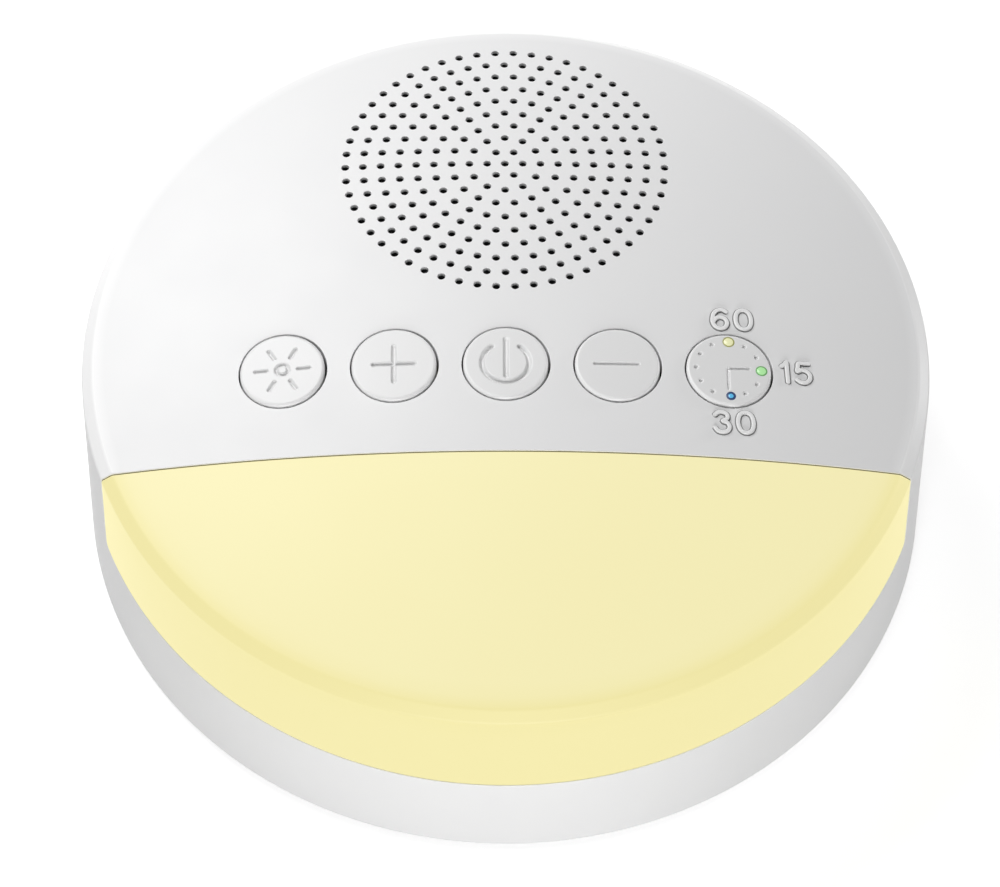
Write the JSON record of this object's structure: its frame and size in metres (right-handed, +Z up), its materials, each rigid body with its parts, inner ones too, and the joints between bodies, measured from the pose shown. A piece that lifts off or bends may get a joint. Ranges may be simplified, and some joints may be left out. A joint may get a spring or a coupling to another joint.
{
  "type": "white noise sound machine",
  "caption": "Low round white-noise sound machine with a domed top, round speaker grille, a row of push buttons and a D-shaped front night light.",
  "frame": {"origin": "on the table, under the middle of the round body", "axes": "+Z up through the dome, -Y out through the night light, +X to the right seen from the front"},
  "size_m": [0.12, 0.12, 0.0417],
  "materials": {
    "casing_white": "smooth moulded satin",
    "button_white": "smooth moulded satin",
    "lens_glow": "translucent diffuser, warm glow",
    "foot_rubber": "soft, fine texture",
    "screw_steel": "plated",
    "pipe_clear": "clear pins",
    "switch_black": "black moulding",
    "plunger_plastic": "black moulding",
    "board_green": "solder mask",
    "board_white": "white solder mask",
    "led_lamp": "lamp package",
    "chip_black": "moulded package",
    "capacitor_can": "can",
    "plug_white": "nylon",
    "gasket_foam": "foam ring",
    "basket_steel": "zinc plated",
    "roll_rubber": "soft roll",
    "spider_cloth": "resin cloth",
    "magnet_ferrite": "ferrite",
    "cloth_black": "woven",
    "reflector_white": "white tray",
    "cell_wrap": "shrink wrap",
    "contact_nickel": "nickel strip",
    "socket_steel": "plated case",
    "lead_red": "two-core flat lead",
    "cone_paper": "pressed paper",
    "coil_copper": "copper winding"
  },
  "bodies": {
    "casing": {"main_shell": "casing_white", "light_lens": "lens_glow", "bottom_cover": "casing_white", "rubber_feet": "foot_rubber", "housing_screws": "screw_steel", "switch_bodies": "switch_black", "timer_leds": "led_lamp", "main_board": "board_green", "board_screws": "screw_steel", "control_chips": "chip_black", "capacitors": "capacitor_can", "lead_connectors": "plug_white", "speaker_gasket": "gasket_foam", "speaker_basket": "basket_steel", "speaker_surround": "roll_rubber", "speaker_spider": "spider_cloth", "speaker_top_plate": "basket_steel", "speaker_magnet": "magnet_ferrite", "speaker_yoke": "basket_steel", "speaker_terminals": "plug_white", "speaker_screws": "screw_steel", "grille_cloth": "cloth_black", "light_board": "board_white", "night_light_leds": "led_lamp", "light_reflector": "reflector_white", "light_board_screws": "screw_steel", "battery_cell": "cell_wrap", "battery_holder": "switch_black", "battery_contacts": "contact_nickel", "charge_board": "board_green", "charge_parts": "chip_black", "charge_board_screws": "screw_steel", "usb_shell": "socket_steel", "usb_tongue": "switch_black", "speaker_lead": "lead_red", "charge_lead": "lead_red", "light_lead": "lead_red", "battery_lead": "lead_red"},
    "light_key": {"light_button": "button_white", "light_switch_plunger": "plunger_plastic"},
    "volume_up_key": {"volume_up_button": "button_white", "volume_up_switch_plunger": "plunger_plastic"},
    "power_key": {"power_button": "button_white", "power_switch_plunger": "plunger_plastic"},
    "volume_down_key": {"volume_down_button": "button_white", "volume_down_switch_plunger": "plunger_plastic"},
    "timer_key": {"timer_button": "button_white", "timer_switch_plunger": "plunger_plastic", "timer_light_pipes": "pipe_clear"},
    "cone": {"speaker_cone": "cone_paper", "dust_cap": "cone_paper", "voice_coil": "coil_copper"}
  },
  "joints": [
    {"name": "light_press", "type": "slide", "parent": "casing", "child": "light_key", "axis": [0, 0, -1], "range_m": [0, 0.0005], "stiffness_N_per_m": 2600, "springref_m": -0.0001},
    {"name": "volume_up_press", "type": "slide", "parent": "casing", "child": "volume_up_key", "axis": [0, 0, -1], "range_m": [0, 0.0005], "stiffness_N_per_m": 2600, "springref_m": -0.0001},
    {"name": "power_press", "type": "slide", "parent": "casing", "child": "power_key", "axis": [0, 0, -1], "range_m": [0, 0.0005], "stiffness_N_per_m": 2600, "springref_m": -0.0001},
    {"name": "volume_down_press", "type": "slide", "parent": "casing", "child": "volume_down_key", "axis": [0, 0, -1], "range_m": [0, 0.0005], "stiffness_N_per_m": 2600, "springref_m": -0.0001},
    {"name": "timer_press", "type": "slide", "parent": "casing", "child": "timer_key", "axis": [0, 0, -1], "range_m": [0, 0.0005], "stiffness_N_per_m": 2600, "springref_m": -0.0001},
    {"name": "cone_travel", "type": "slide", "parent": "casing", "child": "cone", "axis": [0, 0, 1], "range_m": [-0.001, 0.001], "stiffness_N_per_m": 1200, "deforming": ["speaker_surround", "speaker_spider"]}
  ]
}
